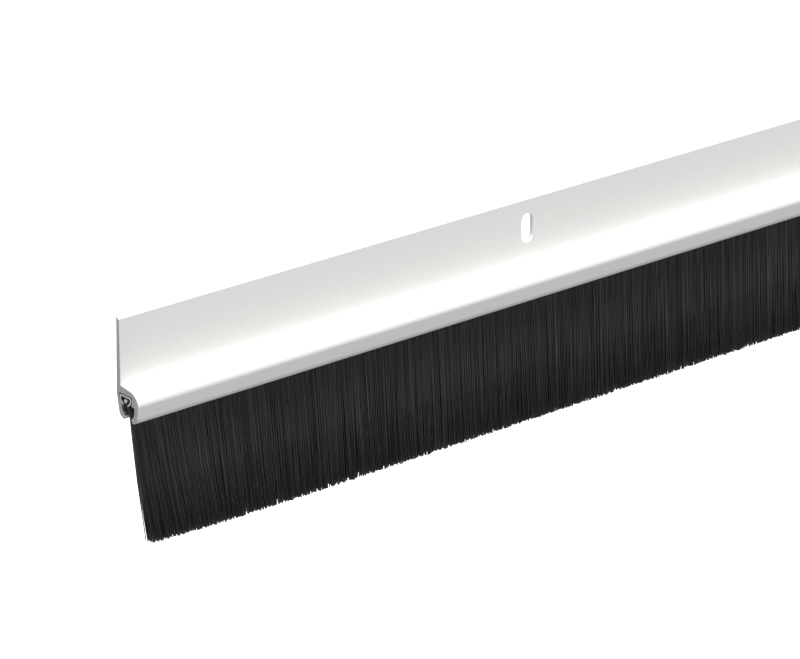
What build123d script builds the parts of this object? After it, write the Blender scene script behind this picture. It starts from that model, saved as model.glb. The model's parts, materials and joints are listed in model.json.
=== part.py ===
from build123d import *
from math import atan2, cos, radians, sin, tan
import os

# Brush door sweep, in millimetres. X runs along the door, +Y points into the door and +Z is up.
# The origin is on the mounting face, at mid-length, level with the screw slots.
# The aluminium carrier is one extrusion. The strip brush slides into its pocket from either end.

# Overall sizes
length = 914.4
carrier_height = 31.3
brush_drop = 40.5          # bristle tips below the carrier's lips

# Screw flange, which thickens towards the bulb
flange_tip = 1.2
flange_base = 1.85
top_land = 0.3             # flat left on the top edge behind its bevel
top_bevel = 0.64           # fall of the bevel from the land to the front face
flange_fillet = 0.6        # inside corner between flange and bulb

# Screw slots, long way up so that the sweep can be set to the floor
slot_width = 4.76
slot_length = 9.53
slot_from_top = 10.0
slot_end_gap = 162.0       # end of the carrier to the nearest slot
slot_count = 4

# Bulb round the brush strip
back_wall = 1.2            # mounting face to the pocket
front_wall = 2.9           # pocket to the front of the bulb
roof_wall = 2.45           # flange corner down to the pocket's roof
leg_wall = 1.6             # both legs, beside the bristles
bulb_radius = 4.0
bulb_fall = 8.3            # degrees that the bulb's top slopes down towards the room
front_lean = 5.6           # degrees that the front leg leans back towards the door
back_lean = 12.4           # degrees that the back leg leans away from the door
back_flat = 3.0            # flat mounting face that carries on below the flange
nib = 0.55                 # step under the front of the channel
nib_undercut = 0.45
throat_height = 4.4        # channel down to the lips
lip_rise = 1.0             # height of the slanted end of each lip
lip_land = 0.45            # flat under each lip
lip_bend = 2.4             # where the legs turn in, above the lips
lip_radius = 2.0           # outside round of the front leg's bottom
edge_round = 0.15          # extruded corners

# Folded steel channel of the brush strip
channel_width = 5.3
channel_height = 3.25
channel_side = 1.6         # straight part of each side, above the folded-in part
channel_gauge = 0.45
channel_mouth = 2.0        # between the folded-in edges
channel_bend = 0.7
fit = 0.3                  # brush strip to pocket, all round

# Core wire and bristles
wire_diameter = 1.3
wire_drop = 1.6            # channel's top to the wire's centre
mouth_width = 3.0          # between the carrier's lips
mouth_shift = 1.15         # mouth's centre, in front of the channel's centre
neck = 1.1                 # half thickness of the bristles in the mouth
tip_spread = 2.0           # half thickness of the bristles at their tips
brush_lean = 2.0           # degrees that the bristles lean towards the room
hinge_drop = 0.1           # line the bristles bend about, below the lips

# Heights, from the slots
top_z = slot_from_top
lip_z = top_z - carrier_height
channel_bottom = lip_z + throat_height
channel_top = channel_bottom + channel_height
side_bottom = channel_top - channel_side
roof_z = channel_top + fit
corner_z = roof_z + roof_wall
hinge_z = lip_z - hinge_drop
tip_z = lip_z - brush_drop

# Distances out from the mounting face
channel_back = back_wall + fit
channel_out = channel_back + channel_width / 2
channel_front = channel_back + channel_width
bulb_depth = channel_front + fit + front_wall
mouth_out = channel_out + mouth_shift
mouth_back = mouth_out - mouth_width / 2
mouth_front = mouth_out + mouth_width / 2

# The section is drawn looking from the -X end: first number out from the door, second up.
section = Plane(origin=(0, 0, 0), x_dir=(0, -1, 0), z_dir=(-1, 0, 0))

# Sloping lower part of the channel's sides, and the pocket's shoulders, which run parallel to it
slope_run = (channel_width - channel_mouth) / 2
slope_rise = channel_height - channel_side
slope = slope_rise / slope_run
shoulder_top = side_bottom - fit * tan(atan2(slope_run, slope_rise) / 2)
leg_top = corner_z - back_flat


def bulb_corner():
    """Corner that the bulb's top and front would have with no round between them."""
    centre_out = bulb_depth - bulb_radius
    top_line = corner_z - tan(radians(bulb_fall)) * (centre_out - flange_base)
    centre_z = top_line - bulb_radius / cos(radians(bulb_fall))
    middle = radians((90 - bulb_fall - front_lean) / 2)
    reach = bulb_radius / cos(radians((90 - bulb_fall + front_lean) / 2))
    return centre_out + reach * cos(middle), centre_z + reach * sin(middle)


def front_face(z):
    """Distance out of the front leg's outer face."""
    out, corner_height = bulb_corner()
    return out - tan(radians(front_lean)) * (corner_height - z)


def back_leg(z):
    """Distance out of the back leg's outer face."""
    return tan(radians(back_lean)) * (leg_top - z)


def shoulder(out):
    """Height of the pocket's back shoulder at a distance out from the door."""
    return shoulder_top - slope * (out - back_wall)


# The back shoulder's slope ends where it meets the back leg's inner face
back_run = back_leg(shoulder_top + slope * back_wall) + leg_wall
ledge_out = back_run / (1 - slope * tan(radians(back_lean)))
nib_out = channel_front + fit - nib
nib_z = shoulder_top - slope * nib
bend_z = lip_z + lip_bend

# Corners of the carrier's section, clockwise from the top of the mounting face: out, up, round
carrier_outline = [
    (0, top_z, edge_round),
    (top_land, top_z, 0),
    (flange_tip, top_z - top_bevel, edge_round),
    (flange_base, corner_z, flange_fillet),
    (*bulb_corner(), bulb_radius),
    (front_face(lip_z), lip_z, lip_radius),
    (mouth_front + lip_land, lip_z, 2 * edge_round),
    (mouth_front, lip_z + lip_rise, 2 * edge_round),
    (front_face(bend_z) - leg_wall, bend_z, 3 * edge_round),
    (front_face(nib_z - nib_undercut) - leg_wall, nib_z - nib_undercut, 2 * edge_round),
    (nib_out, nib_z, edge_round),
    (channel_front + fit, shoulder_top, 0),
    (channel_front + fit, roof_z, 2 * edge_round),
    (back_wall, roof_z, 2 * edge_round),
    (back_wall, shoulder_top, 0),
    (ledge_out, shoulder(ledge_out), edge_round),
    (back_leg(bend_z) + leg_wall, bend_z, 3 * edge_round),
    (mouth_back, lip_z + lip_rise, 2 * edge_round),
    (mouth_back - lip_land, lip_z, 2 * edge_round),
    (back_leg(lip_z + lip_bend / 2), lip_z + lip_bend / 2, lip_radius),
    (0, leg_top, bulb_radius),
]

with BuildPart() as carrier:
    with BuildSketch(section):
        with BuildLine():
            FilletPolyline(
                *[(out, up) for out, up, _ in carrier_outline],
                radius=[round_size for *_, round_size in carrier_outline],
                close=True,
            )
        make_face()
    extrude(amount=length / 2, both=True)

    with BuildSketch(Plane.XZ):
        with GridLocations((length - 2 * slot_end_gap) / (slot_count - 1), 1, slot_count, 1):
            SlotOverall(slot_length, slot_width, rotation=90)
    extrude(amount=bulb_depth, both=True, mode=Mode.SUBTRACT)

carrier.part.label = "aluminium_carrier"

# Section of the channel before its bottom is opened: out, up, with its four bends first
channel_corners = [
    (channel_back, side_bottom),
    (channel_back, channel_top),
    (channel_front, channel_top),
    (channel_front, side_bottom),
    (channel_out + channel_mouth / 2, channel_bottom),
    (channel_out - channel_mouth / 2, channel_bottom),
]

with BuildSketch(section) as channel_outline:
    with BuildLine():
        FilletPolyline(*channel_corners, radius=[channel_bend] * 4 + [0] * 2, close=True)
    make_face()

with BuildSketch(section) as channel_inside:
    add(channel_outline.sketch_local)
    offset(amount=-channel_gauge, mode=Mode.REPLACE)

with BuildPart() as channel:
    with BuildSketch(section):
        add(channel_outline.sketch_local)
        add(channel_inside.sketch_local, mode=Mode.SUBTRACT)
        with Locations((channel_out, channel_bottom)):
            Rectangle(channel_mouth, 4 * channel_gauge, mode=Mode.SUBTRACT)
    extrude(amount=length / 2, both=True)

channel.part.label = "brush_channel"

wire_centre = (channel_out, channel_top - wire_drop)

with BuildPart() as wire:
    with BuildSketch(section):
        with Locations(wire_centre):
            Circle(wire_diameter / 2)
    extrude(amount=length / 2, both=True)

wire.part.label = "core_wire"

# Folded ends of the bristles: they fill the channel round the wire, spread in the throat
# and gather again in the mouth, just above the part that bends.
root_bottom = hinge_z + neck + fit
bulge_z = (channel_bottom + root_bottom) / 2
inside_z = channel_bottom + 2 * channel_gauge

with BuildPart() as root:
    with BuildSketch(section):
        add(channel_inside.sketch_local)
        with BuildLine():
            Polyline(
                (channel_out - channel_mouth / 2, inside_z),
                (channel_out + channel_mouth / 2, inside_z),
                (channel_out + channel_mouth / 2, channel_bottom),
                (front_face(bulge_z) - leg_wall - 2 * fit, bulge_z),
                (mouth_out + neck, root_bottom),
                (mouth_out - neck, root_bottom),
                (back_leg(bulge_z) + leg_wall + 2 * fit, bulge_z),
                (channel_out - channel_mouth / 2, channel_bottom),
                close=True,
            )
        make_face()
        with Locations(wire_centre):
            Circle(wire_diameter / 2, mode=Mode.SUBTRACT)
    extrude(amount=length / 2, both=True)

root.part.label = "bristle_root"

# Free length of the bristles, which bends about a line under the mouth: a wedge with a round top
tip_out = mouth_out + tan(radians(brush_lean)) * (hinge_z - tip_z)

with BuildPart() as curtain:
    with BuildSketch(section):
        with Locations((mouth_out, hinge_z)):
            Circle(neck)
        with BuildLine():
            Polyline(
                (mouth_out - neck, hinge_z),
                (mouth_out + neck, hinge_z),
                (tip_out + tip_spread, tip_z),
                (tip_out - tip_spread, tip_z),
                close=True,
            )
        make_face()
    extrude(amount=length / 2, both=True)

curtain.part.label = "bristle_curtain"

os.makedirs("parts", exist_ok=True)
for piece in (carrier, channel, wire, root, curtain):
    export_step(piece.part, f"parts/{piece.part.label}.step")
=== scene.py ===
"""Brush door sweep: a slotted white carrier that holds a slide-in strip of long black bristles.

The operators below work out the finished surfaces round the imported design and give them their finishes.
Lengths are in metres. X runs along the door, +Y points into the door and +Z is up. A section is seen from
its -X end: its first number is the distance out from the door, and its second is the height.
"""

import json
from math import atan2, ceil, cos, hypot, pi, radians, sin, tan

import bmesh
import bpy
import numpy as np
from bpy.props import FloatProperty, FloatVectorProperty, IntProperty, PointerProperty
from mathutils import Matrix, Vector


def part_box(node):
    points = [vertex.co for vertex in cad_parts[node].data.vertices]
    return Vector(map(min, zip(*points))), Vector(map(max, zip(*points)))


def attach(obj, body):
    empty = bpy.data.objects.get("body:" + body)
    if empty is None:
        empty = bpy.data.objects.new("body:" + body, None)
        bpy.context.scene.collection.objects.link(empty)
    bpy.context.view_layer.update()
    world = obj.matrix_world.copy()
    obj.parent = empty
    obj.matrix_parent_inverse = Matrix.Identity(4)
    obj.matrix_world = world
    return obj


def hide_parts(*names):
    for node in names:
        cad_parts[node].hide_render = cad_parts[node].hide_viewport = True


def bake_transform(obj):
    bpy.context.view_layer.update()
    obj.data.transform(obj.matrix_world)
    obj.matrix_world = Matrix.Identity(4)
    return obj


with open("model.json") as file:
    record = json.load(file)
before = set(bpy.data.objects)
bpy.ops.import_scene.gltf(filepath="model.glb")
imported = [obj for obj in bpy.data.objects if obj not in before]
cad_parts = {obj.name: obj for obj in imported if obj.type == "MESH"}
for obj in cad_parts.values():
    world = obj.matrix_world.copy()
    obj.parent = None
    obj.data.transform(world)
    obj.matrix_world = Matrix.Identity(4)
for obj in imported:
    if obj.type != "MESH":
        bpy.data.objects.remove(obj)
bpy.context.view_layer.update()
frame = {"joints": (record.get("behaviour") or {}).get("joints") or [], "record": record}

bl_info = {
    "name": "Brush Door Sweep",
    "version": (1, 0, 0),
    "blender": (4, 5, 0),
    "location": "3D View > Sidebar > Door Sweep",
    "description": "Makes a slotted white carrier and the strip of bristles that slides into it",
    "category": "Object",
}

MM = 0.001

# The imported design's boxes, joints and mounts, before anything is replaced
carrier_low, carrier_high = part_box("aluminium_carrier")
channel_low, channel_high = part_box("brush_channel")
wire_low, wire_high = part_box("core_wire")
curtain_low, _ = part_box("bristle_curtain")
bend_line = next(joint["pos_m"] for joint in frame["joints"] if joint["name"] == "bristle_flex")
slots = [mount for mount in frame["record"]["mounts"] if mount["kind"] == "bolt_pattern"]

end_x = carrier_high.x
top_z = carrier_high.z
lip_z = carrier_low.z
channel_back, channel_front = -channel_high.y, -channel_low.y
channel_out = (channel_back + channel_front) / 2
wire_out = -(wire_low.y + wire_high.y) / 2
wire_z = (wire_low.z + wire_high.z) / 2
wire_radius = (wire_high.z - wire_low.z) / 2
mouth_out, hinge_z = -bend_line[1], bend_line[2]
tip_z = curtain_low.z
tip_reach = -curtain_low.y


def size(name, description, default):
    """A length that a user may set."""
    return FloatProperty(
        name=name, description=description, default=default, min=0, unit="LENGTH", precision=5
    )


def turn(name, description, default):
    """An angle that a user may set, given in degrees."""
    return FloatProperty(name=name, description=description, default=radians(default), unit="ROTATION")


def colour(name, description, default):
    """A linear colour that a user may set."""
    return FloatVectorProperty(
        name=name, description=description, default=default, min=0, max=1, subtype="COLOR"
    )


class CarrierSizes(bpy.types.PropertyGroup):
    """Walls, leans and rounds of the carrier's section."""

    flange_tip: size("Flange tip", "Thickness of the screw flange at its top", 1.2 * MM)
    flange_base: size("Flange base", "Thickness of the screw flange at the bulb", 1.85 * MM)
    top_land: size("Top land", "Flat on the top edge behind its bevel", 0.3 * MM)
    top_bevel: size("Top bevel", "Fall of the bevel on the top edge", 0.64 * MM)
    flange_fillet: size("Flange fillet", "Inside corner between flange and bulb", 0.6 * MM)
    back_wall: size("Back wall", "Mounting face to the pocket", 1.2 * MM)
    front_wall: size("Front wall", "Pocket to the front of the bulb", 2.9 * MM)
    roof_wall: size("Roof wall", "Flange corner down to the pocket's roof", 2.45 * MM)
    leg_wall: size("Leg wall", "Both legs beside the bristles", 1.6 * MM)
    bulb_radius: size("Bulb radius", "Round of the bulb", 4.0 * MM)
    bulb_fall: turn("Bulb fall", "Slope of the bulb's top down towards the room", 8.3)
    front_lean: turn("Front lean", "Lean of the front leg back towards the door", 5.6)
    back_lean: turn("Back lean", "Lean of the back leg away from the door", 12.4)
    back_flat: size("Back flat", "Mounting face that carries on below the flange", 3.0 * MM)
    nib: size("Nib", "Step under the front of the channel", 0.55 * MM)
    nib_undercut: size("Nib undercut", "Height of the step's underside", 0.45 * MM)
    lip_rise: size("Lip rise", "Height of the slanted end of each lip", 1.0 * MM)
    lip_land: size("Lip land", "Flat under each lip", 0.45 * MM)
    lip_bend: size("Lip bend", "Height where the legs turn in", 2.4 * MM)
    lip_radius: size("Lip radius", "Outside round of the legs' bottoms", 2.0 * MM)
    mouth_width: size("Mouth width", "Gap between the lips", 3.0 * MM)
    edge_round: size("Edge round", "Round of the extruded corners", 0.15 * MM)
    fit: size("Fit", "Gap between the strip and its pocket", 0.3 * MM)
    slot_round: size("Slot round", "Rolled edge of the punched slots", 0.05 * MM)


class StripSizes(bpy.types.PropertyGroup):
    """Folded channel and bristles."""

    channel_side: size("Channel side", "Straight part of the channel's sides", 1.6 * MM)
    channel_gauge: size("Channel gauge", "Thickness of the channel's steel", 0.45 * MM)
    channel_mouth: size("Channel mouth", "Gap between the folded-in edges", 2.0 * MM)
    channel_bend: size("Channel bend", "Outside round of the channel's folds", 0.7 * MM)
    bristle_width: size("Bristle width", "Diameter of a bristle", 0.35 * MM)
    bristle_pitch: size("Bristle pitch", "Spacing of the bristles in one layer", 0.34 * MM)
    layers: IntProperty(
        name="Layers", description="Layers of folded bristles round the wire", default=4, min=1
    )
    end_gap: size("End gap", "End of the strip to its first bristles", 0.9 * MM)
    throat_half: size("Throat half", "Half thickness of the bristles' bulge above the lips", 1.8 * MM)
    mouth_half: size("Mouth half", "Half thickness of the bristles between the lips", 0.9 * MM)
    room_lean: turn("Room lean", "Lean of the bristles towards the room", 2.0)
    extra_length: size("Extra length", "How much longer the longest bristles are than the design's", 0.6 * MM)
    ragged: size("Ragged ends", "How unevenly the bristles are trimmed", 0.22 * MM)
    gather: size("Gather", "How far the end bristles are drawn in at the lips", 0.5 * MM)
    end_lean: size("End lean", "How far the tips lean in near both ends of the strip", 7.7 * MM)
    side_lean: size("Side lean", "How far all tips lean to the right", 0.8 * MM)
    stray: size("Stray", "How unevenly the tips lean", 0.22 * MM)


class Finishes(bpy.types.PropertyGroup):
    """Colours of the finishes."""

    coat: colour("Coat", "White satin coat of the carrier", (0.81, 0.80, 0.785))
    cut_metal: colour("Cut metal", "Bare aluminium of the sawn ends and the pocket", (0.60, 0.60, 0.59))
    steel: colour("Channel steel", "Galvanised steel of the channel", (0.94, 0.95, 0.95))
    wire: colour("Wire steel", "Drawn steel of the core wire", (0.86, 0.86, 0.87))
    nylon: colour("Nylon", "Black bristles", (0.025, 0.027, 0.027))
    floor: colour("Floor", "Pale studio floor", (0.80, 0.80, 0.80))


# Surfaces

SAME_PLACE = 0.001 * MM  # points this close are one point
SHARP_FOLD = radians(40)  # folds sharper than this stay crisp
CHORD_GAP = 0.003 * MM  # most that a round may differ from its circle
CARRIER_CUT, CHANNEL_CUT, WIRE_CUT = 0.1 * MM, 0.06 * MM, 0.12 * MM  # broken edges at the pieces' ends
LENGTH_POINTS = 24  # places along the channel and the wire, between their broken ends
WIRE_SIDES = 32


def grid_quads(rows, columns, closed=False):
    """Faces of a grid of points that is numbered row by row. Each face goes from its first point along the
    columns, then along the rows and back. In a closed grid the last column meets the first."""
    across = columns if closed else columns - 1
    row, column = np.meshgrid(np.arange(rows - 1), np.arange(across), indexing="ij")
    after = (column + 1) % columns
    here, there = row * columns, (row + 1) * columns
    quads = [here + column, here + after, there + after, there + column]
    return np.stack(quads, axis=-1).reshape(-1, 4)


def fill_mesh(mesh, points, faces):
    """Puts points and faces into an empty mesh. faces is a list of arrays, one for each number of corners."""
    corners = np.concatenate([group.ravel() for group in faces]).astype(np.int32)
    totals = np.concatenate([np.full(len(group), group.shape[1], np.int32) for group in faces])
    mesh.vertices.add(len(points))
    mesh.vertices.foreach_set("co", points.astype(np.float32).ravel())
    mesh.loops.add(len(corners))
    mesh.loops.foreach_set("vertex_index", corners)
    mesh.polygons.add(len(totals))
    mesh.polygons.foreach_set("loop_start", (np.cumsum(totals) - totals).astype(np.int32))
    mesh.polygons.foreach_set("loop_total", totals)
    mesh.update(calc_edges=True)


def add_piece(context, name, points, faces, materials, finish=None):
    """Makes a piece at the origin from points and faces. finish gives each face's material."""
    mesh = bpy.data.meshes.new(name)
    fill_mesh(mesh, points, faces)
    for material in materials:
        mesh.materials.append(material)
    if finish is not None:
        mesh.polygons.foreach_set("material_index", np.asarray(finish, np.int32))
    mesh.polygons.foreach_set("use_smooth", np.ones(len(mesh.polygons), bool))
    piece = bpy.data.objects.new(name, mesh)
    context.scene.collection.objects.link(piece)
    return piece


def weld(piece):
    """Joins the points that neighbouring surfaces share, and keeps sharp folds crisp."""
    work = bmesh.new()
    work.from_mesh(piece.data)
    bmesh.ops.remove_doubles(work, verts=work.verts, dist=SAME_PLACE)
    work.to_mesh(piece.data)
    work.free()
    piece.data.set_sharp_from_angle(angle=SHARP_FOLD)
    normals = piece.modifiers.new("Even shading", "WEIGHTED_NORMAL")
    normals.keep_sharp = True


def rounded(corners):
    """Closed outline whose corners, given as (out, up, round), are drawn as arcs. An arc starts and ends
    where its circle touches both sides, at round times the tangent of half the turn from the corner, and is
    stepped so that no chord is further than CHORD_GAP from the circle. Anything after a corner's round is
    kept with its points."""
    corners = np.array(corners)
    spots, rounds, marks = corners[:, :2], corners[:, 2], corners[:, 3:]
    after = np.roll(spots, -1, axis=0) - spots
    after /= np.linalg.norm(after, axis=1)[:, None]
    before = np.roll(after, 1, axis=0)
    crossed = before[:, 0] * after[:, 1] - before[:, 1] * after[:, 0]
    turns = np.arctan2(crossed, (before * after).sum(axis=1))
    outline = []
    for spot, radius, bend, way, mark in zip(spots, rounds, turns, before, marks):
        steps = max(2, ceil(abs(bend) / (2 * np.arccos(1 - CHORD_GAP / radius))))
        angles = np.linspace(0, bend, steps + 1)
        start = spot - way * radius * tan(abs(bend) / 2)
        side = np.array([-way[1], way[0]]) * np.sign(bend)
        ahead = radius * np.sin(np.abs(angles))[:, None] * way
        aside = radius * (1 - np.cos(angles))[:, None] * side
        outline.append(np.hstack([start + ahead + aside, np.tile(mark, (steps + 1, 1))]))
    return np.concatenate(outline)


def inset(outline, depth):
    """Clockwise outline moved inwards by depth, each point along the line that halves its corner."""
    after = np.roll(outline, -1, axis=0) - outline
    after /= np.linalg.norm(after, axis=1)[:, None]
    before = np.roll(after, 1, axis=0)
    inward = np.stack([before[:, 1] + after[:, 1], -before[:, 0] - after[:, 0]], axis=1)
    inward /= np.maximum((inward**2).sum(axis=1), 1)[:, None] / 2
    return outline + inward * depth


def carried(outline, stations, cut_round):
    """Points of a clockwise outline carried along X: a row of points for each station. Both ends are drawn
    in by cut_round, which breaks the edges of the saw cut."""
    smaller = inset(outline, cut_round)
    rows = np.repeat(outline[None], len(stations), axis=0)
    rows[0] = rows[-1] = smaller
    along = np.repeat(stations[:, None], len(outline), axis=1)
    return np.stack([along, -rows[..., 0], rows[..., 1]], axis=-1)


def end_faces(rows, columns):
    """Faces that close both ends of a carried outline."""
    first = np.arange(columns)[::-1]
    return np.stack([first, (rows - 1) * columns + np.arange(columns)])


def carried_piece(context, name, outline, cut_round, material):
    """Makes a piece that has one section, a clockwise outline, over the whole length."""
    inner = np.linspace(-end_x + cut_round, end_x - cut_round, LENGTH_POINTS)
    rows = carried(outline, np.concatenate([[-end_x], inner, [end_x]]), cut_round)
    shape = rows.shape[:2]
    faces = [grid_quads(*shape, closed=True), end_faces(*shape)]
    piece = add_piece(context, name, rows.reshape(-1, 3), faces, [material])
    weld(piece)
    return piece


# Section of the carrier

COATED, BARE = 0, 1  # finishes of the carrier's faces


def bulb_top(sizes):
    """Height of the corner between flange and bulb."""
    return channel_high.z + sizes.fit + sizes.roof_wall


def bulb_corner(sizes):
    """Corner that the bulb's top and front would have with no round between them."""
    centre_out = channel_front + sizes.fit + sizes.front_wall - sizes.bulb_radius
    top_line = bulb_top(sizes) - tan(sizes.bulb_fall) * (centre_out - sizes.flange_base)
    centre_z = top_line - sizes.bulb_radius / cos(sizes.bulb_fall)
    middle = (pi / 2 - sizes.bulb_fall - sizes.front_lean) / 2
    reach = sizes.bulb_radius / cos((pi / 2 - sizes.bulb_fall + sizes.front_lean) / 2)
    return centre_out + reach * cos(middle), centre_z + reach * sin(middle)


def carrier_corners(sizes, channel_side, channel_mouth):
    """Corners of the carrier's section, clockwise from the top of the mounting face: out, up, round, and
    the finish of the side after the corner, which is bare only inside the pocket."""
    leg_top = bulb_top(sizes) - sizes.back_flat
    roof_z = channel_high.z + sizes.fit
    bulb_out, bulb_z = bulb_corner(sizes)

    def front_face(z):
        return bulb_out - tan(sizes.front_lean) * (bulb_z - z)

    def back_leg(z):
        return tan(sizes.back_lean) * (leg_top - z)

    slope_run = (channel_front - channel_back - channel_mouth) / 2
    slope_rise = channel_high.z - channel_low.z - channel_side
    slope = slope_rise / slope_run
    shoulder_top = channel_high.z - channel_side - sizes.fit * tan(atan2(slope_run, slope_rise) / 2)
    back_run = back_leg(shoulder_top + slope * sizes.back_wall) + sizes.leg_wall
    ledge_out = back_run / (1 - slope * tan(sizes.back_lean))
    pocket_front = channel_front + sizes.fit
    nib_z = shoulder_top - slope * sizes.nib
    undercut_z = nib_z - sizes.nib_undercut
    bend_z = lip_z + sizes.lip_bend
    heel_z = lip_z + sizes.lip_bend / 2
    mouth_back, mouth_front = mouth_out - sizes.mouth_width / 2, mouth_out + sizes.mouth_width / 2
    edge = sizes.edge_round
    return [
        (0, top_z, edge, COATED),
        (sizes.top_land, top_z, edge / 2, COATED),
        (sizes.flange_tip, top_z - sizes.top_bevel, edge, COATED),
        (sizes.flange_base, bulb_top(sizes), sizes.flange_fillet, COATED),
        (bulb_out, bulb_z, sizes.bulb_radius, COATED),
        (front_face(lip_z), lip_z, sizes.lip_radius, COATED),
        (mouth_front + sizes.lip_land, lip_z, 2 * edge, COATED),
        (mouth_front, lip_z + sizes.lip_rise, 2 * edge, BARE),
        (front_face(bend_z) - sizes.leg_wall, bend_z, 3 * edge, BARE),
        (front_face(undercut_z) - sizes.leg_wall, undercut_z, 2 * edge, BARE),
        (pocket_front - sizes.nib, nib_z, edge, BARE),
        (pocket_front, shoulder_top, edge, BARE),
        (pocket_front, roof_z, 2 * edge, BARE),
        (sizes.back_wall, roof_z, 2 * edge, BARE),
        (sizes.back_wall, shoulder_top, edge, BARE),
        (ledge_out, shoulder_top - slope * (ledge_out - sizes.back_wall), edge, BARE),
        (back_leg(bend_z) + sizes.leg_wall, bend_z, 3 * edge, BARE),
        (mouth_back, lip_z + sizes.lip_rise, 2 * edge, COATED),
        (mouth_back - sizes.lip_land, lip_z, 2 * edge, COATED),
        (back_leg(heel_z), heel_z, sizes.lip_radius, COATED),
        (0, leg_top, sizes.bulb_radius, COATED),
    ]


CELL = 8 * MM  # half the side of the square that is left out round each slot
CELL_STEPS = 12  # faces along each side of that square
ROLL_STEPS = 4  # faces round a slot's rolled edge


def with_cell_heights(outline):
    """Outline with extra points on the flange's two flat faces, level with the squares round the slots. An
    extra point has the finish of the side it is on."""
    heights = np.linspace(-CELL, CELL, CELL_STEPS + 1)
    parts = []
    for start, end in zip(outline, np.roll(outline, -1, axis=0)):
        parts.append(start[None])
        if abs(end[1] - start[1]) > 2 * CELL:
            levels = heights if end[1] > start[1] else heights[::-1]
            ratio = (levels - start[1]) / (end[1] - start[1])
            parts.append(start + ratio[:, None] * (end - start) * (1, 1, 0))
    return np.concatenate(parts)


def slot_surface(centre_x, width, length, roll, face_out):
    """Surface of one slot, from the square round it on the front face, through the flange, to the square on
    the back. Columns go round the square. Each one's point on the slot is the nearest point of the slot's
    outline, which is every point at half a width from its middle line. Rows step from the front square to a
    ring two rolls outside the slot, round the rolled edge, a quarter circle, then straight through and out
    again."""
    side = np.linspace(-CELL, CELL, CELL_STEPS + 1)[:-1]
    edge = np.full(CELL_STEPS, CELL)
    square = np.stack(
        [np.concatenate([edge, -side, -edge, side]), np.concatenate([side, edge, -side, -edge])], axis=1
    )
    half_line = (length - width) / 2
    middle = np.stack([np.zeros(len(square)), np.clip(square[:, 1], -half_line, half_line)], axis=1)
    outward = square - middle
    outward /= np.linalg.norm(outward, axis=1)[:, None]
    angles = np.linspace(0, pi / 2, ROLL_STEPS + 1)
    widen = np.concatenate([[2 * roll], roll * (1 - np.sin(angles))])
    depth = np.concatenate([[0], roll * (1 - np.cos(angles))])
    rims = middle + outward * (width / 2 + widen)[:, None, None]
    rims = np.concatenate([square[None], rims])
    depth = np.concatenate([[0], depth])[:, None]
    front = np.stack([rims[..., 0], face_out(rims[..., 1]) - depth, rims[..., 1]], axis=-1)
    back = np.stack([rims[..., 0], depth + 0 * rims[..., 0], rims[..., 1]], axis=-1)[::-1]
    rows = np.concatenate([front, back])
    points = np.stack([rows[..., 0] + centre_x, -rows[..., 1], rows[..., 2]], axis=-1)
    return points.reshape(-1, 3), grid_quads(len(rows), len(square), closed=True)


def carrier_surface(sizes, strip):
    """The carrier's outline carried along X, less the squares round the slots, plus the slots' own surfaces.
    Returns points, faces, and each face's finish. Sawn ends and their broken edges are bare."""
    marked = with_cell_heights(rounded(carrier_corners(sizes, strip.channel_side, strip.channel_mouth)))
    outline, side_finish = marked[:, :2], marked[:, 2]
    centres = [mount["pos_m"][0] for mount in slots]
    cells = [centre + np.linspace(-CELL, CELL, CELL_STEPS + 1) for centre in centres]
    inner_end = end_x - CARRIER_CUT
    stations = np.concatenate([[-end_x, -inner_end], *cells, [inner_end, end_x]])
    body = carried(outline, stations, CARRIER_CUT).reshape(-1, 3)
    quads = grid_quads(len(stations), len(outline), closed=True)

    middles = body[quads].mean(axis=1)
    near_slot = np.abs(middles[:, :1] - np.array(centres)).min(axis=1) < CELL
    on_flange = (np.abs(middles[:, 2]) < CELL) & (middles[:, 1] > -sizes.flange_base)
    kept = ~(near_slot & on_flange)
    quads = quads[kept]
    broken_edge = np.abs(middles[kept, 0]) > inner_end
    finish = [np.where(broken_edge, BARE, side_finish[quads[:, 0] % len(outline)])]
    points, faces, first = [body], [quads], len(body)

    bevel_z = top_z - sizes.top_bevel
    slope = (sizes.flange_base - sizes.flange_tip) / (bevel_z - bulb_top(sizes))
    for mount, centre in zip(slots, centres):
        dims = mount["dims"]
        patch, patch_quads = slot_surface(
            centre,
            2 * dims["hole_r_mm"] * MM,
            dims["slot_length_mm"] * MM,
            sizes.slot_round,
            lambda z: sizes.flange_tip + slope * (bevel_z - z),
        )
        points.append(patch)
        faces.append(patch_quads + first)
        finish.append(np.full(len(patch_quads), COATED))
        first += len(patch)
    ends = end_faces(len(stations), len(outline))
    finish.append(np.full(len(ends), BARE))
    return np.concatenate(points), [np.concatenate(faces), ends], np.concatenate(finish)


# Section of the folded channel


def channel_corners(strip):
    """Corners of the folded steel, clockwise round its outside and back round its inside: out, up, round.
    The inner side of each fold lies one gauge inside the outer one."""
    gauge = strip.channel_gauge
    half_mouth = strip.channel_mouth / 2
    low, high = channel_low.z, channel_high.z
    side_low = high - strip.channel_side
    run, rise = (channel_front - channel_back) / 2 - half_mouth, side_low - low
    inner_low = side_low + gauge * tan(atan2(run, rise) / 2)
    inner_end = low + gauge * hypot(run, rise) / run
    outer, inner = strip.channel_bend, strip.channel_bend - gauge
    tip = gauge / 5
    outside = [
        (channel_out - half_mouth, inner_end, tip),
        (channel_out - half_mouth, low, tip),
        (channel_back, side_low, outer),
        (channel_back, high, outer),
        (channel_front, high, outer),
        (channel_front, side_low, outer),
        (channel_out + half_mouth, low, tip),
        (channel_out + half_mouth, inner_end, tip),
    ]
    inside = [
        (channel_front - gauge, inner_low, inner),
        (channel_front - gauge, high - gauge, inner),
        (channel_back + gauge, high - gauge, inner),
        (channel_back + gauge, inner_low, inner),
    ]
    return outside + inside


# Bristles

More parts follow.
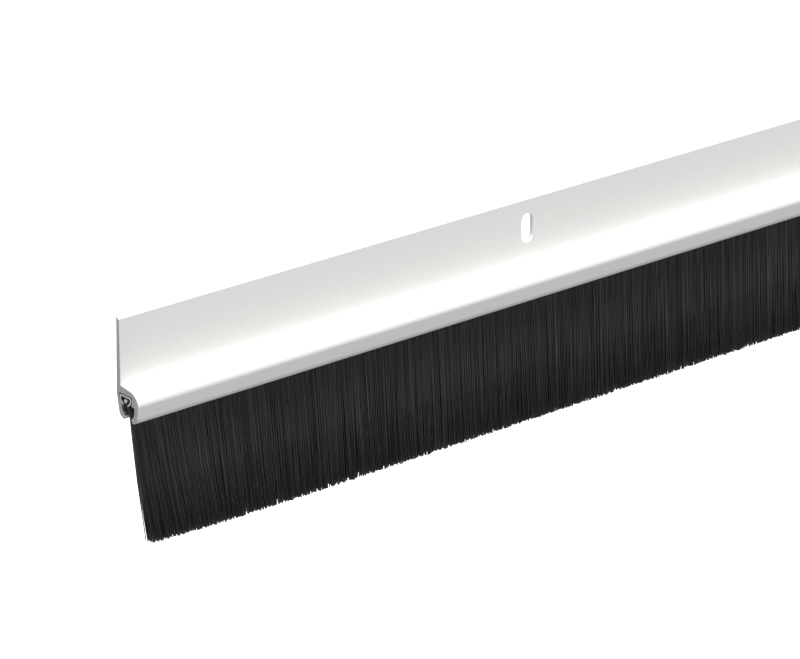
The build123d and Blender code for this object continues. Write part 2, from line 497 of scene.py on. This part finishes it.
SEED = 7
BUNDLES = 8  # equal stretches of the strip, each one piece
SIDES = 3  # flat sides of a bristle
FOLD_POINTS = 4  # points of a bristle over the wire
PLACE_JITTER = 0.25  # unevenness of the places along the strip, in pitches
NEST_JITTER = 0.45  # unevenness of the places across the bunch, in layers
LEVEL_JITTER = 0.25 * MM  # unevenness of the heights where the held bristles turn
TIP_JITTER = 0.22  # unevenness of the tips across the bunch, in half thicknesses

# Places along a free leg, from its tip at 1 to the line it bends about at 0, and the part of its lean that
# grows with the square of them
LEG_SHARES = np.array([1.0, 0.5, 0.13, 0.06, 0.0])
BOW = 0.25

# Distances from the strip's end over which the gather at the lips and the lean at the tips fall to 1/e
GATHER_FADE = 6 * MM
LEAN_FADE = 40 * MM
UPRIGHT, UPRIGHT_FADE = 0.35, 5 * MM  # part of their lean that the end bristles lack, and its own fade
LOOSE_SHARE = 0.08  # share of the bristles that lean less still
LOOSE, LOOSE_FADE = 0.4, 2 * MM  # part of the lean that those lack at the end, and its own fade

# Tufts along the strip: how far each wave leans the tips, its radians per metre and where it starts
TUFTS = ((0.25 * MM, 173, 2), (0.12 * MM, 410, 0), (0.04 * MM, 947, 4))
# Strays: the degrees of freedom of their distribution, and their limit in units of its size
STRAY_FREEDOM, FARTHEST_STRAY = 3, 6

# Trim of the tips: one wave within another along the strip, more off at its ends, and chance up to a limit
TRIM_WAVE, TRIM_SLOW, TRIM_FAST = 0.15 * MM, 333, 1300
END_TRIM, END_TRIM_FADE = 0.9 * MM, 12 * MM
LONGEST_TRIM = 1.2 * MM

# Where the held bristles start to bulge above the lips, and the parts of their gather left there and higher
LIP_TOP = 1.3 * MM
LIP_GATHER, BULGE_GATHER = 0.7, 0.35

# Bristles' widths in diameters, their tones, and the lighter tones that a share of the legs have
WIDTHS = (0.88, 1.08)
TONES = (0.1, 1.7)
LIGHT_SHARE, LIGHT_TONES = 0.1, (1.8, 2.8)


def strand_places(strip, start, end, random):
    """Place of each folded bristle along the strip and across the bunch, between two places along the strip.
    A bristle is a U: one tip, up its back leg, over the wire and down its front leg to the other tip. Its
    place across the bunch, from 0 in the middle to 1 outside, is kept all the way, so that the legs nest.
    Each layer starts a part of the pitch further on than the one inside it."""
    count = round((end - start) / strip.bristle_pitch)
    shape = (strip.layers, count)
    layer = np.arange(strip.layers)[:, None]
    steps = np.arange(count) + layer / strip.layers + random.uniform(-PLACE_JITTER, PLACE_JITTER, shape)
    nest = (layer + 0.5 + random.uniform(-NEST_JITTER, NEST_JITTER, shape)) / strip.layers
    return (start + (steps % count) / count * (end - start)).ravel(), nest.ravel()


def legs(strip, along, nest, side, random):
    """Points of one leg of each bristle, from its tip up to the channel: out, along and up as (bristle,
    level). side is -1 for the back leg and 1 for the front one, which stand half a pitch apart along the
    strip. Near both ends the bristles are drawn in by gather at the lips, and by end_lean at the tips less a
    part that fades sooner, both as an exponential of the distance to the end, and a few of the end ones lean
    less. All tips lean a little to one side, in tufts that are a sum of sines, with strays from a Student
    distribution. The tip is below the bend by the root of the leg's length squared less its leans squared."""
    radius = strip.bristle_width / 2
    count = len(along)
    along = along + side * strip.bristle_pitch / 4
    to_end = end_x - np.abs(along)
    inward = -np.sign(along)
    gather = inward * strip.gather * np.exp(-to_end / GATHER_FADE)
    swell = strip.end_lean * (np.exp(-to_end / LEAN_FADE) - UPRIGHT * np.exp(-to_end / UPRIGHT_FADE))
    swell *= 1 - LOOSE * (random.random(count) < LOOSE_SHARE) * np.exp(-to_end / LOOSE_FADE)
    tufts = sum(height * np.sin(along * waves + start) for height, waves, start in TUFTS)
    chance = random.standard_t(STRAY_FREEDOM, count)
    strays = strip.stray * np.clip(chance, -FARTHEST_STRAY, FARTHEST_STRAY)
    lean = strip.side_lean + inward * swell + tufts + strays

    across = side * nest
    tip_centre = mouth_out + tan(strip.room_lean) * (hinge_z - tip_z)
    tip_half = tip_reach - tip_centre - radius
    tip_out = tip_centre + np.clip(across + random.normal(0, TIP_JITTER, count), -1, 1) * tip_half
    mouth = mouth_out + across * strip.mouth_half
    trimmed = np.minimum(strip.ragged * random.exponential(1, count), LONGEST_TRIM)
    trimmed += TRIM_WAVE * (1 + np.sin(along * TRIM_SLOW) * np.sin(along * TRIM_FAST))
    trimmed += END_TRIM * np.exp(-to_end / END_TRIM_FADE)
    length = hinge_z - tip_z + strip.extra_length - trimmed
    fall = np.sqrt(length**2 - (lean - gather) ** 2 - (tip_out - mouth) ** 2)

    bow = (1 - BOW) * LEG_SHARES + BOW * LEG_SHARES**2
    free_out = mouth[:, None] + (tip_out - mouth)[:, None] * LEG_SHARES
    free_along = (along + gather)[:, None] + (lean - gather)[:, None] * bow
    free_up = hinge_z - fall[:, None] * LEG_SHARES

    lip_top = lip_z + LIP_TOP
    throat = np.array(
        [
            (lip_top, mouth_out, strip.mouth_half, LIP_GATHER),
            ((channel_low.z + lip_top) / 2, mouth_out, strip.throat_half, BULGE_GATHER),
            (channel_low.z, channel_out, strip.channel_mouth / 2 - radius, 0),
        ]
    )
    levels, centres, halves, drawn = throat.T
    held_out = centres + across[:, None] * halves
    held_up = levels + random.uniform(-LEVEL_JITTER, LEVEL_JITTER, (count, len(throat)))
    held_along = along[:, None] + gather[:, None] * drawn
    return (
        np.concatenate([free_out, held_out], axis=1),
        np.concatenate([free_along, held_along], axis=1),
        np.concatenate([free_up, held_up], axis=1),
    )


def folds(strip, along, nest):
    """Points where each bristle goes over the wire, from back to front: a half ellipse whose half widths
    grow from the wire's surface to the inside of the channel."""
    radius = strip.bristle_width / 2
    tight = wire_radius + radius
    wide = (channel_front - channel_back) / 2 - strip.channel_gauge - radius
    tall = channel_high.z - strip.channel_gauge - wire_z - radius
    angles = np.linspace(pi, 0, FOLD_POINTS)
    reach_out = (tight + nest * (wide - tight))[:, None] * np.cos(angles)
    reach_up = (tight + nest * (tall - tight))[:, None] * np.sin(angles)
    return wire_out + reach_out, np.repeat(along[:, None], len(angles), axis=1), wire_z + reach_up


def tubes(lines, widths):
    """Closed tubes of SIDES flat sides round centre lines given as (tube, point, axis). At each point the
    ring lies across the line's direction there, which is the difference of the points either side, on two
    axes square to it: the strip's length less its part along the line, and the cross product of both."""
    run = np.empty_like(lines)
    run[:, 1:-1] = lines[:, 2:] - lines[:, :-2]
    run[:, 0] = lines[:, 1] - lines[:, 0]
    run[:, -1] = lines[:, -1] - lines[:, -2]
    run /= np.linalg.norm(run, axis=2)[..., None]
    length_axis = np.array([1.0, 0.0, 0.0])
    first = length_axis - (run @ length_axis)[..., None] * run
    first /= np.linalg.norm(first, axis=2)[..., None]
    second = np.cross(run, first)
    angles = np.arange(SIDES) / SIDES * 2 * pi
    ring = first[:, :, None] * np.cos(angles)[:, None] + second[:, :, None] * np.sin(angles)[:, None]
    points = lines[:, :, None] + ring * (widths / 2)[:, None, None, None]
    count, levels = lines.shape[:2]
    starts = (np.arange(count) * levels * SIDES)[:, None, None]
    quads = (grid_quads(levels, SIDES, closed=True) + starts).reshape(-1, 4)
    caps = (end_faces(levels, SIDES) + starts).reshape(-1, SIDES)
    return points.reshape(-1, 3), quads, caps


def bristle_bundle(context, name, strip, start, end, random, material):
    """One stretch of bristles as closed tubes, with the tone of each leg on its points."""
    along, nest = strand_places(strip, start, end, random)
    back = legs(strip, along, nest, -1, random)
    front = legs(strip, along, nest, 1, random)
    over = folds(strip, along, nest)
    out, run, up = (np.concatenate([back[i], over[i], front[i][:, ::-1]], axis=1) for i in range(3))
    last_x = end_x - strip.bristle_width / 2
    lines = np.stack([np.clip(run, -last_x, last_x), -out, up], axis=-1)
    widths = strip.bristle_width * random.uniform(*WIDTHS, len(along))
    points, quads, caps = tubes(lines, widths)
    piece = add_piece(context, name, points, [quads, caps], [material])

    shape = (len(along), 2)
    tones = np.where(random.random(shape) < LIGHT_SHARE, random.uniform(*LIGHT_TONES, shape), 1)
    tones *= random.uniform(*TONES, shape)
    ring_points = lines.shape[1] * SIDES
    back_points = ring_points // 2
    per_point = np.repeat(tones, [back_points, ring_points - back_points], axis=1)
    tone = piece.data.attributes.new("tone", "FLOAT", "POINT")
    tone.data.foreach_set("value", per_point.astype(np.float32).ravel())
    return piece


# Finishes

MIX_FACTOR, MIX_LOW, MIX_HIGH, MIX_RESULT = 0, 6, 7, 2  # a mix node's sockets for colours
BUMP_DISTANCE = 0.05 * MM  # height of the fine lines worked into metal and coat


def new_material(name):
    """A material, a way to add a node to it, its shader, and a way to link two sockets."""
    material = bpy.data.materials.new(name)
    material.use_nodes = True
    nodes = material.node_tree.nodes
    shader = nodes["Principled BSDF"]

    def add(kind, inputs=None, **settings):
        node = nodes.new(kind)
        for key, value in settings.items():
            setattr(node, key, value)
        for key, value in (inputs or {}).items():
            if isinstance(value, bpy.types.NodeSocket):
                material.node_tree.links.new(value, node.inputs[key])
            else:
                node.inputs[key].default_value = value
        return node

    return material, add, shader, material.node_tree.links.new


def shaded(add, factor, base, darkest, lightest):
    """A colour times a number from darkest to lightest, by a factor that varies over the surface."""
    dark, light = ((*(min(1, part * shade) for part in base), 1) for shade in (darkest, lightest))
    inputs = {MIX_FACTOR: factor, MIX_LOW: dark, MIX_HIGH: light}
    return add("ShaderNodeMix", inputs, data_type="RGBA").outputs[MIX_RESULT]


def ranged(add, value, low, high, start=0.3, end=0.7):
    """A value's range from start to end, laid out over low to high."""
    settings = {"Value": value, "From Min": start, "From Max": end, "To Min": low, "To Max": high}
    return add("ShaderNodeMapRange", settings).outputs["Result"]


def coat_material(finishes):
    """White satin coat: fine speckle in its colour, faint lines along the extrusion and a light texture."""
    material, add, shader, link = new_material("white_satin_coat")
    place = add("ShaderNodeTexCoord").outputs["Object"]
    speckle = add("ShaderNodeTexNoise", {"Vector": place, "Scale": 1500, "Detail": 3}).outputs["Fac"]
    grain = shaded(add, ranged(add, speckle, 0, 1), finishes.coat, 0.965, 1.02)
    link(grain, shader.inputs["Base Color"])
    drawn = add("ShaderNodeMapping", {"Vector": place, "Scale": (3, 2600, 2600)}).outputs["Vector"]
    lines = add("ShaderNodeTexNoise", {"Vector": drawn, "Scale": 1, "Detail": 2}).outputs["Fac"]
    skin = add("ShaderNodeTexNoise", {"Vector": place, "Scale": 700, "Detail": 2}).outputs["Fac"]
    link(ranged(add, skin, 0.36, 0.48), shader.inputs["Roughness"])
    drawn_bump = add("ShaderNodeBump", {"Height": lines, "Strength": 0.05, "Distance": BUMP_DISTANCE})
    bump = add(
        "ShaderNodeBump",
        {"Height": skin, "Strength": 0.22, "Distance": 0.1 * MM, "Normal": drawn_bump.outputs["Normal"]},
    )
    link(bump.outputs["Normal"], shader.inputs["Normal"])
    shader.inputs["Specular IOR Level"].default_value = 0.45
    return material


def metal_material(name, base, rough, line_scale, contrast):
    """Bare metal: fine lines from the saw, the fold or the draw, with specks of brighter and darker metal."""
    material, add, shader, link = new_material(name)
    place = add("ShaderNodeTexCoord").outputs["Object"]
    worked = add("ShaderNodeMapping", {"Vector": place, "Scale": line_scale}).outputs["Vector"]
    lines = add("ShaderNodeTexNoise", {"Vector": worked, "Scale": 1, "Detail": 3}).outputs["Fac"]
    specks = add("ShaderNodeTexNoise", {"Vector": place, "Scale": 2600, "Detail": 2}).outputs["Fac"]
    both = add("ShaderNodeMath", {0: lines, 1: specks}, operation="ADD").outputs[0]
    shade = ranged(add, both, 0, 1, 0.8, 1.2)
    link(shaded(add, shade, base, 1 - contrast, 1 + contrast), shader.inputs["Base Color"])
    link(ranged(add, lines, rough - 0.06, rough + 0.08), shader.inputs["Roughness"])
    bump = add("ShaderNodeBump", {"Height": both, "Strength": 0.25, "Distance": BUMP_DISTANCE})
    link(bump.outputs["Normal"], shader.inputs["Normal"])
    shader.inputs["Metallic"].default_value = 1.0
    return material


def nylon_material(finishes):
    """Black nylon: each leg of a bristle has its own tone and gloss, under faint bands of tone along the
    strip."""
    material, add, shader, link = new_material("black_nylon_bristles")
    tone = add("ShaderNodeAttribute", attribute_name="tone").outputs["Fac"]
    place = add("ShaderNodeTexCoord").outputs["Object"]
    banded = add("ShaderNodeMapping", {"Vector": place, "Scale": (260, 40, 12)}).outputs["Vector"]
    bands = add("ShaderNodeTexNoise", {"Vector": banded, "Scale": 1, "Detail": 3}).outputs["Fac"]
    band = ranged(add, bands, 0.94, 1.06)
    factor = add("ShaderNodeMath", {0: tone, 1: band}, operation="MULTIPLY").outputs[0]
    lightness = ranged(add, factor, 0, 1, 0, 3)
    link(shaded(add, lightness, finishes.nylon, 0, 3), shader.inputs["Base Color"])
    link(ranged(add, factor, 0.56, 0.26, 0.3, 1.8), shader.inputs["Roughness"])
    shader.inputs["Specular IOR Level"].default_value = 0.9
    return material


def floor_material(finishes):
    """Pale matt studio floor with a trace of unevenness."""
    material, add, shader, link = new_material("pale_floor")
    place = add("ShaderNodeTexCoord").outputs["Object"]
    cloud = add("ShaderNodeTexNoise", {"Vector": place, "Scale": 3, "Detail": 2}).outputs["Fac"]
    shade = shaded(add, ranged(add, cloud, 0, 1), finishes.floor, 0.995, 1.005)
    link(shade, shader.inputs["Base Color"])
    shader.inputs["Roughness"].default_value = 0.9
    shader.inputs["Specular IOR Level"].default_value = 0.1
    return material


# Operators


class SWEEP_OT_carrier(bpy.types.Operator):
    """Make the slotted carrier"""

    bl_idname = "door_sweep.carrier"
    bl_label = "Carrier"

    def execute(self, context):
        scene = context.scene
        points, faces, finish = carrier_surface(scene.sweep_carrier, scene.sweep_strip)
        finishes = scene.sweep_finishes
        bare = metal_material(
            "bare_aluminium", finishes.cut_metal, rough=0.5, line_scale=(2500, 900, 5200), contrast=0.16
        )
        materials = [coat_material(finishes), bare]
        piece = add_piece(context, "slotted_carrier", points, faces, materials, finish)
        weld(piece)
        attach(piece, "carrier")
        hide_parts("aluminium_carrier")
        return {"FINISHED"}


class SWEEP_OT_channel(bpy.types.Operator):
    """Make the folded steel channel of the strip"""

    bl_idname = "door_sweep.channel"
    bl_label = "Folded channel"

    def execute(self, context):
        scene = context.scene
        outline = rounded(channel_corners(scene.sweep_strip))
        base = scene.sweep_finishes.steel
        steel = metal_material(
            "galvanised_steel", base, rough=0.32, line_scale=(60, 1800, 1800), contrast=0.1
        )
        piece = carried_piece(context, "folded_channel", outline, CHANNEL_CUT, steel)
        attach(piece, "brush_strip")
        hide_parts("brush_channel")
        return {"FINISHED"}


class SWEEP_OT_wire(bpy.types.Operator):
    """Make the core wire that the bristles are folded over"""

    bl_idname = "door_sweep.wire"
    bl_label = "Core wire"

    def execute(self, context):
        angles = np.arange(WIRE_SIDES) / WIRE_SIDES * 2 * pi
        circle = np.stack([np.sin(angles), np.cos(angles)], axis=1)
        outline = np.array((wire_out, wire_z)) + wire_radius * circle
        base = context.scene.sweep_finishes.wire
        drawn = metal_material("drawn_wire", base, rough=0.3, line_scale=(40, 2400, 2400), contrast=0.1)
        piece = carried_piece(context, "bristle_wire", outline, WIRE_CUT, drawn)
        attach(piece, "brush_strip")
        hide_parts("core_wire")
        return {"FINISHED"}


class SWEEP_OT_bristles(bpy.types.Operator):
    """Make the bristles, folded over the wire and hanging to the floor, in equal stretches of the strip"""

    bl_idname = "door_sweep.bristles"
    bl_label = "Bristles"

    def execute(self, context):
        scene = context.scene
        strip = scene.sweep_strip
        random = np.random.default_rng(SEED)
        nylon = nylon_material(scene.sweep_finishes)
        edge = end_x - strip.end_gap
        bounds = np.linspace(-edge, edge, BUNDLES + 1)
        for number, (start, end) in enumerate(zip(bounds[:-1], bounds[1:]), start=1):
            piece = bristle_bundle(context, f"bristles_{number}", strip, start, end, random, nylon)
            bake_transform(piece)
            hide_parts("bristle_root", "bristle_curtain")
        return {"FINISHED"}


# Stage: half the floor's side, its points along a side, and its depth below the bristles
FLOOR_HALF, FLOOR_POINTS, FLOOR_DEPTH = 20, 9, 0.4
SUN_STRENGTH, SUN_WIDTH, SUN_TILT = 5.9, radians(22), (radians(9), radians(-3), 0)
AIR_LIGHT, AIR_SEEN = 0.49, 1.05  # strength of the air as a light, and as the backdrop

# Camera: focal length, turn, and place from the corner of flange and bulb at the -X end, along its own axes
LENS = 204.03
AZIMUTH, ELEVATION, ROLL = radians(-42), radians(21.538), radians(1)
STAND = (82.5 * MM, 15.64 * MM, 1318.57 * MM)


class SWEEP_OT_stage(bpy.types.Operator):
    """Make the pale floor, the soft light from above and the camera"""

    bl_idname = "door_sweep.stage"
    bl_label = "Stage"

    def execute(self, context):
        scene = context.scene
        steps = np.linspace(-FLOOR_HALF, FLOOR_HALF, FLOOR_POINTS)
        x, y = np.meshgrid(steps, steps)
        points = np.stack([x, y, np.full_like(x, tip_z - FLOOR_DEPTH)], axis=-1).reshape(-1, 3)
        quads = grid_quads(FLOOR_POINTS, FLOOR_POINTS)
        floor = add_piece(context, "floor", points, [quads], [floor_material(scene.sweep_finishes)])
        floor.visible_diffuse = False
        floor.visible_glossy = False

        sun = bpy.data.lights.new("overhead_light", "SUN")
        sun.energy = SUN_STRENGTH
        sun.angle = SUN_WIDTH
        overhead = bpy.data.objects.new("overhead_light", sun)
        overhead.rotation_euler = SUN_TILT
        scene.collection.objects.link(overhead)

        world = bpy.data.worlds.new("studio_air")
        world.use_nodes = True
        nodes, links = world.node_tree.nodes, world.node_tree.links
        seen = nodes.new("ShaderNodeLightPath").outputs["Is Camera Ray"]
        strength = nodes.new("ShaderNodeMapRange")
        strength.inputs["To Min"].default_value = AIR_LIGHT
        strength.inputs["To Max"].default_value = AIR_SEEN
        links.new(seen, strength.inputs["Value"])
        air = nodes["Background"]
        air.inputs["Color"].default_value = (1, 1, 1, 1)
        links.new(strength.outputs["Result"], air.inputs["Strength"])
        scene.world = world
        scene.view_settings.view_transform = "Standard"

        lens = bpy.data.cameras.new("camera")
        lens.lens = LENS
        lens.sensor_width = 36
        lens.clip_start, lens.clip_end = 0.01, 100
        camera = bpy.data.objects.new("camera", lens)
        turned = (
            Matrix.Rotation(AZIMUTH, 4, "Z")
            @ Matrix.Rotation(pi / 2 - ELEVATION, 4, "X")
            @ Matrix.Rotation(ROLL, 4, "Z")
        )
        corner = Matrix.Translation((-end_x, 0, bulb_top(scene.sweep_carrier)))
        camera.matrix_world = corner @ turned @ Matrix.Translation(STAND)
        scene.collection.objects.link(camera)
        scene.camera = camera
        return {"FINISHED"}


class SWEEP_PT_panel(bpy.types.Panel):
    """Sizes, colours and buttons of the door sweep"""

    bl_idname = "SWEEP_PT_panel"
    bl_label = "Brush Door Sweep"
    bl_space_type = "VIEW_3D"
    bl_region_type = "UI"
    bl_category = "Door Sweep"

    def draw(self, context):
        layout = self.layout
        for operator in OPERATORS:
            layout.operator(operator.bl_idname)
        for name in GROUPS:
            group = getattr(context.scene, name)
            box = layout.box()
            for key in group.__annotations__:
                box.prop(group, key)


GROUPS = {"sweep_carrier": CarrierSizes, "sweep_strip": StripSizes, "sweep_finishes": Finishes}
OPERATORS = (SWEEP_OT_stage, SWEEP_OT_carrier, SWEEP_OT_channel, SWEEP_OT_wire, SWEEP_OT_bristles)
CLASSES = (*GROUPS.values(), *OPERATORS, SWEEP_PT_panel)


def register():
    for item in CLASSES:
        bpy.utils.register_class(item)
    for name, group in GROUPS.items():
        setattr(bpy.types.Scene, name, PointerProperty(type=group))


def unregister():
    for name in GROUPS:
        delattr(bpy.types.Scene, name)
    for item in reversed(CLASSES):
        bpy.utils.unregister_class(item)


def main():
    """Makes the whole door sweep."""
    register()
    bpy.ops.door_sweep.stage()
    bpy.ops.door_sweep.carrier()
    bpy.ops.door_sweep.channel()
    bpy.ops.door_sweep.wire()
    bpy.ops.door_sweep.bristles()


if __name__ == "__main__":
    main()
